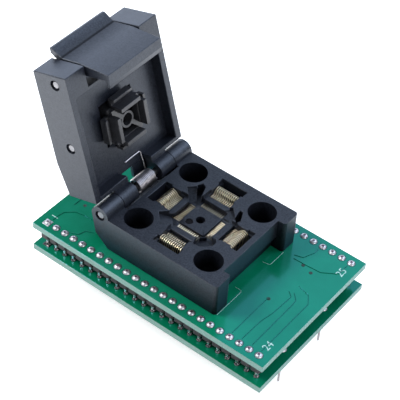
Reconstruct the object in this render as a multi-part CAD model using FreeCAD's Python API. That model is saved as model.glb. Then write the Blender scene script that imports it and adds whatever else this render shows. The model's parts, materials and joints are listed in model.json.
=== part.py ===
import FreeCAD, Part
import math
import os

# Programming adapter for a 48-lead flat package with leads at 0.5 mm.
# A clamshell test socket stands on two stacked boards, and two rows of round
# pins under the lower board plug into a 48-way dual-in-line socket.
# Millimetres. Origin: centre of the pin field, on the plane of the pin tips.
# +X runs from pin 1 to pin 24, +Y from the front row to the back row, +Z up.
# The lid stands open, as it rests on its stop.

vec = FreeCAD.Vector
up = vec(0, 0, 1)
across = vec(0, 1, 0)
touch = 1e-3

# Pin rows and boards
pitch = 2.54
row_count = 24
board_end_margin = 1.27
board_edge_margin = 2.155
board_thickness = 1.6
board_gap = 5.13
strip_height = 2.54
strip_width = 2.5
overshoot = 1.0
dip_row_spacing = 15.24
dip_pin_diameter = 0.5
dip_tail_length = 6.6
header_row_spacing = 34.29
header_pin_side = 0.64
header_pin_end = 0.6
pin_clearance = 0.02
faceted_sides = 6
solder_foot_diameter = 1.75
solder_crown_diameter = 0.95
solder_height = 0.5

# Socket base, measured from the top of the upper board
base_height = 8.65
base_row_clearance = 2.545
base_front = 15.7
base_corner_radius = 0.8
post_corner_radius = 0.8
base_toe = -13.9
base_heel = -17.5
base_heel_height = 3.0
recess_diameter = 6.5
recess_spacing = 19.1
recess_depth = 5.5

# Seat for the chip
plateau_half = 3.4
plateau_height = 7.2
vent_diameter = 2.1
vent_depth = 3.0
dimple_diameter = 1.8
dimple_depth = 0.25
dimple_offset = vec(-1.6, -1.9, 0)
rib_inner = 5.2
rib_outer = 6.75
rib_height = 7.75
seat_half_width = 3.3
seat_clearance = 0.2
slot_half_width = 2.95
slot_outer = 11.5
slot_mouth_outer = 12.3
slot_mouth_half_width = 3.4
slot_mouth_depth = 4.0
contact_channel_floor = 5.6
ramp_half_width = 1.9
ramp_start = 6.0
ramp_end = 9.0
ramp_foot_height = 6.6
ramp_head_height = 7.9
shelf_end = 7.4
shelf_height = 7.7
shelf_notch_floor = 6.4
crescent_floor = 5.9
corner_slot_floor = 6.0
corner_slot_side = -0.2

# Contacts
contact_pitch = 0.5
contacts_a_side = 12
contact_width = 0.25
contact_thickness = 0.24
tip_inner = 4.25
tip_height = 6.6
tip_dip = 6.9
tip_dip_height = 6.0
rib_underside = 6.75
shoulder_start = 8.5
shoulder_height = 8.1
shoulder_fall = 0.6
tail_clearance = 0.5

# Catch for the latch, in the end of the base
catch_wall = 13.7
catch_half_width = 9.8
catch_undercut = 12.6
catch_edge_height = 3.5

# Hinge
hinge_x = -16.27
hinge_rise = 8.71
hinge_pin_diameter = 1.6
ear_radius = 2.3
ear_inner = 8.95
knuckle_inner = 4.1
knuckle_gap = 0.15
knuckle_room = 0.57
running_clearance = 0.04
held_clearance = 0.01
pin_inset = 0.3
pin_mouth_diameter = 2.5
pin_mouth_depth = 0.7
open_angle = 106.4

# Lid, in the closed pose: u runs from the hinge axis to the latch, n upwards
lid_end = 34.25
lid_heel = 2.9
lid_floor = 0.05
lid_top = 9.5
lid_top_bend = 11.1
lid_heel_top = 8.1
lid_top_ease = 0.2
lid_wall = 1.7
lid_heel_wall = 1.0
lid_cavity_end = 28.4
lid_ceiling = 2.8
well_half = 5.1
well_depth = 6.0

# Lid pins
cross_pin_diameter = 1.5
latch_pin_inset = 2.35
latch_pin_n = 3.6
pad_pin_u = -hinge_x
pad_pin_n = 3.8

# Latch lever
latch_half_width = 8.45
tower_clearance = 0.35
latch_slot_room = 2.5
latch_boss_room = 0.9
boss_top = 1.5
boss_shoulder = 1.0
boss_foot = 2.1
hook_throat = 0.3
crease_rise = 0.6
hook_bite = 0.47
hook_catch = -5.3
hook_bottom = -6.0
hook_lead = 1.3
hook_nose = 0.15
hook_thickness = 1.5
hook_slope = 1.4
latch_proud = 0.15
latch_arm_thickness = 1.4
handle_overhang = 2.1
handle_crease = 6.75
handle_shoulder = 8.95
handle_top = 9.7
handle_thickness = 1.3
latch_spring_radius = 1.2
latch_spring_n = 6.2

# Pressure pad
pad_rest_tilt = 3.0
pad_plate_reach = 6.43
pad_plate_arm = 3.0
pad_plate_shoulder = 4.4
pad_plate_front = 0.33
pad_plate_thickness = 0.8
pad_hub_half = 4.3
pad_hub_top = 5.2
blade_outer = 4.75
blade_thickness = 1.0
blade_half_length = 3.1
blade_tip = -1.6
pad_rim_width = 0.7
pad_rim_depth = 1.0
pad_pocket_depth = 1.8
pad_pocket_half = 3.6
pad_ring_radius = 1.95
pad_hole_radius = 1.45
pad_hole_depth = 2.2
pad_web_half = 0.5

# Torsion spring
coil_radius = 1.85
coil_sides = 14
coil_near = -2.7
coil_far = 2.9
spring_wire = 0.36
spring_leg_y = 3.5
spring_hook_end = -1.6
spring_leg_reach = 5.2
spring_leg_gap = 0.05

# Levels and values that follow
board_length = row_count * pitch + 2 * board_end_margin
board_width = header_row_spacing + 2 * board_edge_margin
base_width = header_row_spacing - 2 * base_row_clearance
strip_bottom = dip_tail_length
lower_board_bottom = strip_bottom + strip_height
lower_board_top = lower_board_bottom + board_thickness
upper_board_bottom = lower_board_top + board_gap
deck = upper_board_bottom + board_thickness
hinge_z = deck + hinge_rise
hinge_point = vec(hinge_x, 0, hinge_z)
half_base = base_width / 2
latch_outer = lid_end + latch_proud
latch_pin_u = lid_end - latch_pin_inset
latch_slot_floor = latch_pin_u - latch_slot_room
tower_inner = latch_half_width + tower_clearance
latch_arm_back = latch_outer - latch_arm_thickness
handle_reach = lid_end + handle_overhang
hook_reach = catch_wall - hook_bite - hinge_x
hook_arm_inner = latch_outer - hook_thickness - latch_arm_thickness
knuckle_outer = ear_inner - knuckle_gap
groove_radius = ear_radius + knuckle_room
row_xs = [(i - (row_count - 1) / 2) * pitch for i in range(row_count)]
contact_ys = [(i - (contacts_a_side - 1) / 2) * contact_pitch for i in range(contacts_a_side)]


def box(low, high):
    size = vec(*high) - vec(*low)
    return Part.makeBox(size.x, size.y, size.z, vec(*low))


def rod_y(x, z, radius, y_low, y_high):
    return Part.makeCylinder(radius, y_high - y_low, vec(x, y_low, z), across)


def rod(start, end, radius):
    return Part.makeCylinder(radius, (end - start).Length, start, end - start)


def ring_of_points(centre, axis, radius, sides):
    side = axis.cross(across if abs(axis.y) < 0.9 else up).normalize()
    other = axis.cross(side)
    turns = [(i + 0.5) * 2 * math.pi / sides for i in range(sides)]
    return [centre + side * (radius * math.cos(turn)) + other * (radius * math.sin(turn)) for turn in turns]


def flat_face(points):
    return Part.Face(Part.makePolygon(points + points[:1]))


def faceted_rod(start, end, start_radius, end_radius, sides=faceted_sides):
    """A rod or cone with flat sides, for small things that repeat."""
    axis = (end - start).normalize()
    first = ring_of_points(start, axis, start_radius, sides)
    last = ring_of_points(end, axis, end_radius, sides)
    faces = [flat_face(first), flat_face(last)]
    for i in range(sides):
        after = (i + 1) % sides
        faces.append(flat_face([first[i], first[after], last[after], last[i]]))
    solid = Part.makeSolid(Part.makeShell(faces))
    return solid if solid.Volume > 0 else solid.reversed()


def side_plate(points, y_low, y_high):
    """A flat outline in X and Z, drawn out along Y."""
    ring = [vec(x, y_low, z) for x, z in points]
    face = Part.Face(Part.makePolygon(ring + ring[:1]))
    return face.extrude(vec(0, y_high - y_low, 0))


def level_plate(points, z_low, z_high):
    """A flat outline in X and Y, drawn out upwards."""
    ring = [vec(x, y, z_low) for x, y in points]
    face = Part.Face(Part.makePolygon(ring + ring[:1]))
    return face.extrude(vec(0, 0, z_high - z_low))


def rotated(shape, angle, centre=vec(0, 0, 0), axis=up):
    copy = shape.copy()
    copy.rotate(centre, axis, angle)
    return copy


def lid_point(u, y, n):
    """A point of the closed lid, from the hinge axis."""
    return vec(hinge_x + u, y, hinge_z + n)


def lid_box(low, high):
    return box(tuple(lid_point(*low)), tuple(lid_point(*high)))


def lid_outline(points, half_width):
    placed = [(hinge_x + u, hinge_z + n) for u, n in points]
    return side_plate(placed, -half_width, half_width)


def opened(shape):
    """Swings a piece of the lid from the closed pose to its open stop."""
    return rotated(shape, -open_angle, hinge_point, across)


def save(name, shape):
    shape.exportStep("parts/" + name + ".step")


def save_group(name, solids):
    save(name, Part.makeCompound(solids))


def edges_along(shape, direction, test):
    """Straight edges that run along a direction and whose middle passes a test."""
    found = []
    for edge in shape.Edges:
        if edge.Curve.TypeId != "Part::GeomLine":
            continue
        run = edge.Vertexes[1].Point - edge.Vertexes[0].Point
        if run.cross(direction).Length < 1e-6 and test(edge.CenterOfMass):
            found.append(edge)
    return found


# Boards

def pin_holes(row_y, bottom, thickness):
    """A row of square holes, each cut to the header pin that fills it."""
    half = header_pin_side / 2 + pin_clearance
    return [box((x - half, row_y - half, bottom - overshoot),
                (x + half, row_y + half, bottom + thickness + overshoot)) for x in row_xs]


def board(bottom):
    blank = box((-board_length / 2, -board_width / 2, bottom),
                (board_length / 2, board_width / 2, bottom + board_thickness))
    holes = []
    for row_y in (-header_row_spacing / 2, header_row_spacing / 2):
        holes += pin_holes(row_y, bottom, board_thickness)
    return blank.cut(holes)


# Pin strips and pins

def strip(row_y, bottom):
    """A black strip as long as its row of pins."""
    half_length = row_count * pitch / 2
    return box((-half_length, row_y - strip_width / 2, bottom),
               (half_length, row_y + strip_width / 2, bottom + strip_height))


def header_strip(row_y):
    """The strip under the upper board, with a square hole for each pin."""
    bottom = upper_board_bottom - strip_height
    return strip(row_y, bottom).cut(pin_holes(row_y, bottom, strip_height))


def header_pins(row_y):
    half = header_pin_side / 2
    return [box((x - half, row_y - half, lower_board_bottom - header_pin_end),
                (x + half, row_y + half, deck)) for x in row_xs]


def dip_pins(row_y):
    """Pins below the strip: round at both ends of the row, with fewer faces between them."""
    pins = []
    for x in row_xs:
        tip = vec(x, row_y, 0)
        root = vec(x, row_y, strip_bottom)
        if x in (row_xs[0], row_xs[-1]):
            pins.append(rod(tip, root, dip_pin_diameter / 2))
        else:
            pins.append(faceted_rod(tip, root, dip_pin_diameter / 2, dip_pin_diameter / 2))
    return pins


def solder_joints(row_y):
    """A mound of solder over each header pin, on top of the upper board."""
    return [faceted_rod(vec(x, row_y, deck), vec(x, row_y, deck + solder_height),
                        solder_foot_diameter / 2, solder_crown_diameter / 2) for x in row_xs]


# Socket base

def base_blank():
    outline = [(base_toe, deck), (base_front, deck), (base_front, deck + base_height),
               (hinge_x, deck + base_height), (hinge_x - ear_radius, hinge_z),
               (base_heel, deck + base_heel_height)]
    body = side_plate(outline, -half_base, half_base)
    front_corners = edges_along(body, up, lambda middle: middle.x > base_front - touch)
    body = body.makeFillet(base_corner_radius, front_corners)
    ears = rod_y(hinge_x, hinge_z, ear_radius, -half_base, half_base)
    return body.fuse(ears).removeSplitter()


def hinge_groove():
    """Room for the lid's knuckles, and the bore for the hinge pin."""
    saddle = rod_y(hinge_x, hinge_z, groove_radius, -ear_inner, ear_inner)
    bore = rod_y(hinge_x, hinge_z, hinge_pin_diameter / 2 + held_clearance,
                 -half_base - overshoot, half_base + overshoot)
    mouths = [rod_y(hinge_x, hinge_z, pin_mouth_diameter / 2, low, low + pin_mouth_depth + overshoot)
              for low in (-half_base - overshoot, half_base - pin_mouth_depth)]
    return [saddle, bore] + mouths


def latch_recess():
    """The recess in the base's end, and the undercut whose upper edge the hook catches."""
    outer = base_front + overshoot
    half = catch_half_width
    recess = box((catch_wall, -half, deck - overshoot), (outer, half, deck + base_height + overshoot))
    undercut = box((catch_undercut, -half, deck - overshoot), (outer, half, deck + catch_edge_height))
    return [recess, undercut]


def post_corners(body):
    """Rounds the upright corners where the recess opens between the two posts."""
    corners = edges_along(body, up, lambda middle: abs(middle.x - base_front) < touch
                          and abs(abs(middle.y) - catch_half_width) < touch)
    return body.makeFillet(post_corner_radius, corners)


def slot_cut():
    """One side of the seat: the slot for the springs and the channel for the tips."""
    top = deck + base_height + overshoot
    half = slot_half_width
    slot = box((rib_outer, -half, deck - overshoot), (slot_outer, half, top))
    mouth_floor = deck + base_height - slot_mouth_depth
    mouth = box((slot_outer - overshoot, -slot_mouth_half_width, deck + base_height - overshoot),
                (slot_mouth_outer, slot_mouth_half_width, top))
    deep = box((slot_outer - overshoot, -half, mouth_floor), (slot_mouth_outer, half, top))
    over_rib = box((rib_inner - overshoot, -seat_half_width, deck + rib_height),
                   (rib_outer + overshoot, seat_half_width, top))
    tips = box((plateau_half, -half, deck + contact_channel_floor), (rib_inner, half, top))
    seat_half = seat_half_width + seat_clearance
    blade_room = box((plateau_half, -seat_half, deck + rib_underside), (rib_inner, seat_half, top))
    under_rib = box((rib_inner - overshoot, -half, deck + contact_channel_floor),
                    (rib_outer + overshoot, half, deck + rib_underside))
    return [slot, mouth, deep, over_rib, tips, blade_room, under_rib]


def corner_ramp(low, high):
    """A ramp that runs down to the seat along a diagonal, between two distances beside it."""
    top = deck + base_height + overshoot
    outline = [(plateau_half, deck + plateau_height), (ramp_start, deck + ramp_foot_height),
               (ramp_end, deck + ramp_head_height), (ramp_end, top), (plateau_half, top)]
    return side_plate(outline, low, high)


def corner_shelf():
    """A shallow shelf along a diagonal, which ends in a wall with a notch at its foot."""
    top = deck + base_height + overshoot
    outline = [(plateau_half, deck + plateau_height), (shelf_end, deck + shelf_height),
               (shelf_end, top), (plateau_half, top)]
    notch = [(7.3, -2.8), (7.5, -1.3), (8.8, 0.9), (9.3, 0.4), (8.4, -2.4)]
    return [side_plate(outline, -ramp_half_width, ramp_half_width),
            level_plate(notch, deck + shelf_notch_floor, top)]


def corner_crescent():
    """A deep pocket with a rounded outer side."""
    top = deck + base_height + overshoot
    outline = [(5.0, -1.4), (6.2, -1.9), (7.2, -2.6), (8.3, -2.6), (9.1, -1.7), (9.4, -0.5),
               (9.4, 0.5), (9.1, 1.5), (8.4, 2.2), (7.5, 2.3), (6.2, 1.9), (5.0, 1.5)]
    return level_plate(outline, deck + crescent_floor, top)


def corner_slot():
    """A narrow slot that widens outwards."""
    top = deck + base_height + overshoot
    outline = [(4.9, 0.4), (8.0, corner_slot_side), (9.6, -0.45), (9.8, -1.8), (8.6, -2.1), (5.2, -0.5)]
    return level_plate(outline, deck + corner_slot_floor, top)


def corner_cuts():
    """The four corners of the seat; no two of them are alike."""
    ramp = corner_ramp(-ramp_half_width, ramp_half_width)
    part_ramp = corner_ramp(corner_slot_side, ramp_half_width)
    corners = [corner_shelf(), [part_ramp, corner_slot()], [ramp], [corner_crescent()]]
    cuts = []
    for quarter, shapes in enumerate(corners):
        cuts += [rotated(shape, 90 * quarter + 45) for shape in shapes]
    return cuts


def seat_cuts():
    top = deck + base_height + overshoot
    half = seat_half_width + seat_clearance
    cuts = [box((-half, -half, deck + plateau_height), (half, half, top))] + corner_cuts()
    for quarter in range(4):
        cuts += [rotated(cut, 90 * quarter) for cut in slot_cut()]
    vent_floor = deck + plateau_height - vent_depth
    cuts.append(Part.makeCylinder(vent_diameter / 2, vent_depth + overshoot, vec(0, 0, vent_floor)))
    dimple_floor = vec(0, 0, deck + plateau_height - dimple_depth) + dimple_offset
    cuts.append(Part.makeCylinder(dimple_diameter / 2, overshoot, dimple_floor))
    return cuts


def round_recesses():
    floor = deck + base_height - recess_depth
    spots = [(x, y) for x in (-recess_spacing / 2, recess_spacing / 2)
             for y in (-recess_spacing / 2, recess_spacing / 2)]
    return [Part.makeCylinder(recess_diameter / 2, recess_depth + overshoot, vec(x, y, floor))
            for x, y in spots]


def socket_base():
    base = post_corners(base_blank().cut(latch_recess()))
    return base.cut(hinge_groove() + round_recesses() + seat_cuts())


# Contacts

def thick_line(points, thickness):
    """The outline of a strip that follows a line, with mitred bends."""
    left = []
    right = []
    last = len(points) - 1
    for i, (x, z) in enumerate(points):
        before = points[max(i - 1, 0)]
        after = points[min(i + 1, last)]
        here = (x, z)
        into = vec(here[0] - before[0], 0, here[1] - before[1]) if i > 0 else None
        out = vec(after[0] - here[0], 0, after[1] - here[1]) if i < last else None
        runs = [run.normalize() for run in (into, out) if run is not None]
        normals = [vec(-run.z, 0, run.x) for run in runs]
        mean = normals[0] if len(normals) == 1 else (normals[0] + normals[1]).normalize()
        reach = thickness / 2 / mean.dot(normals[0])
        left.append((x + mean.x * reach, z + mean.z * reach))
        right.append((x - mean.x * reach, z - mean.z * reach))
    return left + right[::-1]


def contact_row():
    """Twelve sprung contacts of the latch side: tip, dip under the rib, hump and tail."""
    tail = slot_outer - tail_clearance
    line = [(tip_inner, deck + tip_height), (tip_dip, deck + tip_dip_height),
            (shoulder_start, deck + shoulder_height), (tail - shoulder_fall, deck + shoulder_height),
            (tail, deck)]
    outline = thick_line(line, contact_thickness)
    half = contact_width / 2
    return [side_plate(outline, y - half, y + half) for y in contact_ys]


def contacts(quarter):
    return [rotated(contact, 90 * quarter) for contact in contact_row()]


# Hinge pin and springs

def hinge_pin():
    end = half_base - pin_inset
    return rod_y(hinge_x, hinge_z, hinge_pin_diameter / 2, -end, end)


def wire_run(start, end, radius):
    """A straight run of wire, lengthened by its radius so that it meets the next run."""
    reach = (end - start).normalize() * radius
    return faceted_rod(start - reach, end + reach, radius, radius)


def hinge_spring():
    """A close-wound coil on the hinge pin; its leg runs behind the coil and up inside the lid."""
    wire = spring_wire / 2
    middle = coil_radius - wire
    inner = coil_radius - spring_wire
    near = vec(hinge_x, coil_near, hinge_z)
    far = vec(hinge_x, coil_far, hinge_z)
    beyond = across * overshoot
    coil = faceted_rod(near, far, coil_radius, coil_radius, coil_sides)
    coil = coil.cut(faceted_rod(near - beyond, far + beyond, inner, inner, coil_sides))
    behind = coil_radius + wire + spring_leg_gap
    ceiling = lid_ceiling - wire - spring_leg_gap
    leg = [lid_point(0, coil_near + spring_wire, middle), lid_point(0, coil_near + spring_wire, behind),
           lid_point(0, spring_leg_y, behind), lid_point(spring_leg_reach, spring_leg_y, ceiling),
           lid_point(spring_leg_reach, spring_hook_end, ceiling)]
    runs = [opened(wire_run(start, end, wire)) for start, end in zip(leg, leg[1:])]
    foot = vec(hinge_x, coil_far - spring_wire, hinge_z)
    tail = wire_run(foot - up * middle, foot - up * (groove_radius - spring_leg_gap - wire), wire)
    return coil.fuse(runs + [tail])


def latch_spring():
    """The room that a small coil spring fills between the lid and the latch's upper arm."""
    start = lid_point(latch_slot_floor, 0, latch_spring_n)
    end = lid_point(latch_arm_back, 0, latch_spring_n)
    return opened(faceted_rod(start, end, latch_spring_radius, latch_spring_radius))


# Lid

def cross_bore(u, n, clearance, half_length):
    place = lid_point(u, 0, n)
    return rod_y(place.x, place.z, cross_pin_diameter / 2 + clearance, -half_length, half_length)


def pin_mouths(u, n):
    place = lid_point(u, 0, n)
    lows = (-half_base - overshoot, half_base - pin_mouth_depth)
    return [rod_y(place.x, place.z, pin_mouth_diameter / 2, low, low + pin_mouth_depth + overshoot)
            for low in lows]


def lid_blank():
    outline = [(lid_heel, lid_floor), (lid_end, lid_floor), (lid_end, lid_top - lid_top_ease),
               (lid_top_bend, lid_top), (lid_heel, lid_heel_top)]
    return lid_outline(outline, half_base)


def lid_knuckles():
    """Two knuckles on the hinge pin, each joined to the lid by a web."""
    pieces = []
    for low in (-knuckle_outer, knuckle_inner):
        high = low + knuckle_outer - knuckle_inner
        pieces.append(rod_y(hinge_x, hinge_z, ear_radius, low, high))
        pieces.append(lid_box((0, low, lid_floor), (lid_heel + lid_heel_wall, high, ear_radius)))
    return pieces


def lid():
    inner = half_base - lid_wall
    body = lid_blank().fuse(lid_knuckles()).removeSplitter()
    cavity = lid_box((lid_heel + lid_heel_wall, -inner, -overshoot), (lid_cavity_end, inner, lid_ceiling))
    spring_room = lid_box((lid_heel - overshoot, -knuckle_inner, -overshoot),
                          (lid_heel + lid_heel_wall + overshoot, knuckle_inner, lid_ceiling))
    well = lid_box((pad_pin_u - well_half, -well_half, 0), (pad_pin_u + well_half, well_half, well_depth))
    latch_slot = lid_box((latch_slot_floor, -tower_inner, -overshoot),
                         (lid_end + overshoot, tower_inner, lid_top + overshoot))
    hinge_bore = rod_y(hinge_x, hinge_z, hinge_pin_diameter / 2 + running_clearance, -half_base, half_base)
    bores = [hinge_bore]
    for u, n in ((latch_pin_u, latch_pin_n), (pad_pin_u, pad_pin_n)):
        bores.append(cross_bore(u, n, held_clearance, half_base + overshoot))
        bores += pin_mouths(u, n)
    return opened(body.cut([cavity, spring_room, well, latch_slot] + bores))


def cross_pin(u, n):
    end = half_base - pin_inset
    return opened(cross_bore(u, n, 0, end))


# Latch lever

def latch_lever():
    """The handle above the cross pin and the hook below it, in one outline along the lid."""
    boss_back = latch_slot_floor + latch_boss_room
    outline = [(latch_outer - hook_slope, hook_bottom), (latch_outer - latch_proud, latch_pin_n - boss_foot),
               (latch_outer, handle_crease), (handle_reach, handle_shoulder), (handle_reach, handle_top),
               (handle_reach - handle_thickness, handle_top), (latch_arm_back, handle_crease + crease_rise),
               (latch_arm_back, latch_pin_n + boss_top), (latch_pin_u, latch_pin_n + boss_top),
               (boss_back, latch_pin_n + boss_shoulder), (boss_back, latch_pin_n - boss_shoulder),
               (hook_arm_inner, latch_pin_n - boss_foot), (hook_arm_inner, hook_catch + hook_throat),
               (hook_reach, hook_catch), (hook_reach, hook_catch - hook_nose),
               (hook_reach + hook_lead, hook_bottom)]
    lever = lid_outline(outline, latch_half_width)
    bore = cross_bore(latch_pin_u, latch_pin_n, running_clearance, latch_half_width + overshoot)
    return opened(lever.cut(bore))


# Pressure pad

def plus_plate():
    """The pad's plate: four arms with a rim along each end, and corners that are stepped back."""
    reach = pad_plate_reach
    low = pad_plate_front + pad_rim_depth
    high = low + pad_plate_thickness
    pieces = [(reach, pad_plate_arm), (pad_plate_arm, reach), (pad_plate_shoulder, pad_plate_shoulder)]
    boxes = [lid_box((pad_pin_u - a, -b, low), (pad_pin_u + a, b, high)) for a, b in pieces]
    centre = lid_point(pad_pin_u, 0, 0)
    rim = lid_box((pad_pin_u + reach - pad_rim_width, -pad_plate_arm, pad_plate_front),
                  (pad_pin_u + reach, pad_plate_arm, high))
    boxes += [rotated(rim, 90 * quarter, centre) for quarter in range(4)]
    return boxes[0].fuse(boxes[1:]).removeSplitter()


def blades():
    """Four blades that press the chip's leads onto the contacts."""
    centre = lid_point(pad_pin_u, 0, 0)
    inner = blade_outer - blade_thickness
    blade = lid_box((pad_pin_u + inner, -blade_half_length, blade_tip),
                    (pad_pin_u + blade_outer, blade_half_length, pad_plate_front + pad_rim_depth + touch))
    return [rotated(blade, 90 * quarter, centre) for quarter in range(4)]


def pad_pockets():
    """Two pockets between the blades, parted by a diagonal web and a ring round the hole."""
    floor = pad_plate_front + pad_pocket_depth
    half = pad_pocket_half
    centre = lid_point(pad_pin_u, 0, pad_plate_front)
    pocket = lid_box((pad_pin_u - half, -half, pad_plate_front - overshoot), (pad_pin_u + half, half, floor))
    ring = Part.makeCylinder(pad_ring_radius, pad_pocket_depth + overshoot, centre)
    web = lid_box((pad_pin_u - 2 * half, -pad_web_half, pad_plate_front),
                  (pad_pin_u + 2 * half, pad_web_half, floor + overshoot))
    pocket = pocket.cut([ring, rotated(web, -45, centre)])
    hole = Part.makeCylinder(pad_hole_radius, pad_hole_depth, centre)
    return [pocket, hole]


def pressure_pad():
    half = pad_hub_half
    hub = lid_box((pad_pin_u - half, -half, pad_plate_front), (pad_pin_u + half, half, pad_hub_top))
    pad = plus_plate().cut(pad_pockets()).fuse([hub.cut(pad_pockets())] + blades()).removeSplitter()
    pad = pad.cut(cross_bore(pad_pin_u, pad_pin_n, running_clearance, half + overshoot))
    pad = rotated(pad, pad_rest_tilt, lid_point(pad_pin_u, 0, pad_pin_n), across)
    return opened(pad)


os.makedirs("parts", exist_ok=True)

save("lower_board", board(lower_board_bottom))
save("upper_board", board(upper_board_bottom))
for name, side in (("front", -1), ("back", 1)):
    header_y = side * header_row_spacing / 2
    dip_y = side * dip_row_spacing / 2
    save("header_strip_" + name, header_strip(header_y))
    save_group("header_pins_" + name, header_pins(header_y))
    save("dip_strip_" + name, strip(dip_y, strip_bottom))
    save_group("dip_pins_" + name, dip_pins(dip_y))
    save_group("solder_joints_" + name, solder_joints(header_y))
save("socket_base", socket_base())
for quarter, name in enumerate(("latch_side", "back", "hinge_side", "front")):
    save_group("contacts_" + name, contacts(quarter))
save("hinge_pin", hinge_pin())
save("hinge_spring", hinge_spring())
save("lid", lid())
save("latch_pin", cross_pin(latch_pin_u, latch_pin_n))
save("pad_pin", cross_pin(pad_pin_u, pad_pin_n))
save("latch_spring", latch_spring())
save("latch_lever", latch_lever())
save("pressure_pad", pressure_pad())
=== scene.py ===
import json
import math
import bmesh
import bpy
from mathutils import Matrix, Vector


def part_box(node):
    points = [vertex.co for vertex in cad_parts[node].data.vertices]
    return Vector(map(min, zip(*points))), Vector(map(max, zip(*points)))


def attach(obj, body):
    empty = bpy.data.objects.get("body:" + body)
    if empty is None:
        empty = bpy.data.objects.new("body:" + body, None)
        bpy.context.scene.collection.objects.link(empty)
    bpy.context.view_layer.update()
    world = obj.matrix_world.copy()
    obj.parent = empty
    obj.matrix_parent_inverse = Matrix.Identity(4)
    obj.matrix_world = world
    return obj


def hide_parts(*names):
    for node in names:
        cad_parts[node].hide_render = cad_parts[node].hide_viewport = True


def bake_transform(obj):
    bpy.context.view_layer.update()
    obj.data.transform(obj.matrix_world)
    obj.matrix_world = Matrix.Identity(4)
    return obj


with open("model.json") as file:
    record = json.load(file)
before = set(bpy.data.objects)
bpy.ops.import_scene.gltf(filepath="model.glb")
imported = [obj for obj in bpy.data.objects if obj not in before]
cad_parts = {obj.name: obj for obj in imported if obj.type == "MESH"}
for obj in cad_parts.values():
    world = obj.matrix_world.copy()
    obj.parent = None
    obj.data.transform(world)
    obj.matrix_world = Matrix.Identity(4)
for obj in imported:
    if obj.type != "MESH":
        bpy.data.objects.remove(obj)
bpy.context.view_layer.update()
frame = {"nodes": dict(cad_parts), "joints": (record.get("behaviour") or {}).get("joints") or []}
print("frame loaded:", len(frame["nodes"]), "nodes")

mm = 0.001
joints = {joint["name"]: joint for joint in frame["joints"]}
hinge = Vector(joints["lid_hinge"]["pos_m"])
openTurn = math.radians(joints["lid_hinge"]["range_deg"][1])
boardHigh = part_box("upper_board")[1]
lowerLow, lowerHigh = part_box("lower_board")
deck = boardHigh.z
pinPitch = 2.54 * mm
pinCount = 24
headerRow = -sum(corner.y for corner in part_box("header_pins_front")) / 2
dipRow = -sum(corner.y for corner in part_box("dip_pins_front")) / 2
rowStart = -pinPitch * (pinCount - 1) / 2
weldGap = 1e-6


def lidPoint(u, y, n):
    # a point of the closed lid in millimetres, where it lies when the lid stands open
    swing = Matrix.Rotation(-openTurn, 4, "Y")
    return hinge + swing @ Vector((u * mm, y * mm, n * mm))


# Shader groups

def addNode(tree, kind, place, values=(), mode=None):
    node = tree.nodes.new(kind)
    node.location = place
    if mode:
        node.mode = mode
    for name, value in dict(values).items():
        node.inputs[name].default_value = value
    return node


def newGroup(name, inputs, outputs):
    group = bpy.data.node_groups.new(name, "ShaderNodeTree")
    for label, kind, value in inputs:
        socket = group.interface.new_socket(label, in_out="INPUT", socket_type=kind)
        if value is not None:
            socket.default_value = value
    for label in outputs:
        group.interface.new_socket(label, in_out="OUTPUT", socket_type="NodeSocketFloat")
    return group, group.nodes.new("NodeGroupInput"), group.nodes.new("NodeGroupOutput")


def makeGrainGroup():
    # fine grain and a slower cloud, for bump, roughness and tone
    group, source, out = newGroup(
        "fineGrain",
        [("Vector", "NodeSocketVector", None), ("Grain Scale", "NodeSocketFloat", 9000.0),
         ("Cloud Scale", "NodeSocketFloat", 260.0)],
        ["Height", "Cloud"])
    grain = addNode(group, "ShaderNodeTexNoise", (0, 200), {"Detail": 3.0, "Roughness": 0.6})
    cloud = addNode(group, "ShaderNodeTexNoise", (0, -100), {"Detail": 4.0, "Roughness": 0.55})
    link = group.links.new
    link(source.outputs["Vector"], grain.inputs["Vector"])
    link(source.outputs["Vector"], cloud.inputs["Vector"])
    link(source.outputs["Grain Scale"], grain.inputs["Scale"])
    link(source.outputs["Cloud Scale"], cloud.inputs["Scale"])
    link(grain.outputs["Fac"], out.inputs["Height"])
    link(cloud.outputs["Fac"], out.inputs["Cloud"])
    return group


def makeDrawnGroup():
    # drawn marks stretched along one direction, for wire, pins and plated strip
    group, source, out = newGroup(
        "drawnMarks",
        [("Vector", "NodeSocketVector", None), ("Stretch", "NodeSocketVector", (1.0, 1.0, 1.0)),
         ("Scale", "NodeSocketFloat", 6000.0)],
        ["Height"])
    mapping = group.nodes.new("ShaderNodeMapping")
    marks = addNode(group, "ShaderNodeTexNoise", (200, 0), {"Detail": 2.0, "Roughness": 0.7})
    link = group.links.new
    link(source.outputs["Vector"], mapping.inputs["Vector"])
    link(source.outputs["Stretch"], mapping.inputs["Scale"])
    link(source.outputs["Scale"], marks.inputs["Scale"])
    link(mapping.outputs["Vector"], marks.inputs["Vector"])
    link(marks.outputs["Fac"], out.inputs["Height"])
    return group


grainGroup = makeGrainGroup()
drawnGroup = makeDrawnGroup()


# Materials

def startMaterial(name, values):
    material = bpy.data.materials.new(name)
    material.use_nodes = True
    tree = material.node_tree
    shader = tree.nodes["Principled BSDF"]
    for label, value in values.items():
        shader.inputs[label].default_value = value
    place = addNode(tree, "ShaderNodeTexCoord", (-1400, 0))
    return material, tree, shader, place.outputs["Object"]


def placeGroup(tree, group, vector, values):
    node = addNode(tree, "ShaderNodeGroup", (-1100, 0))
    node.node_tree = group
    for label, value in values.items():
        node.inputs[label].default_value = value
    tree.links.new(vector, node.inputs["Vector"])
    return node


def remap(tree, value, low, high):
    node = addNode(tree, "ShaderNodeMapRange", (-700, -200), {"From Min": 0.3, "From Max": 0.7,
                                                             "To Min": low, "To Max": high})
    tree.links.new(value, node.inputs["Value"])
    return node.outputs["Result"]


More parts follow.
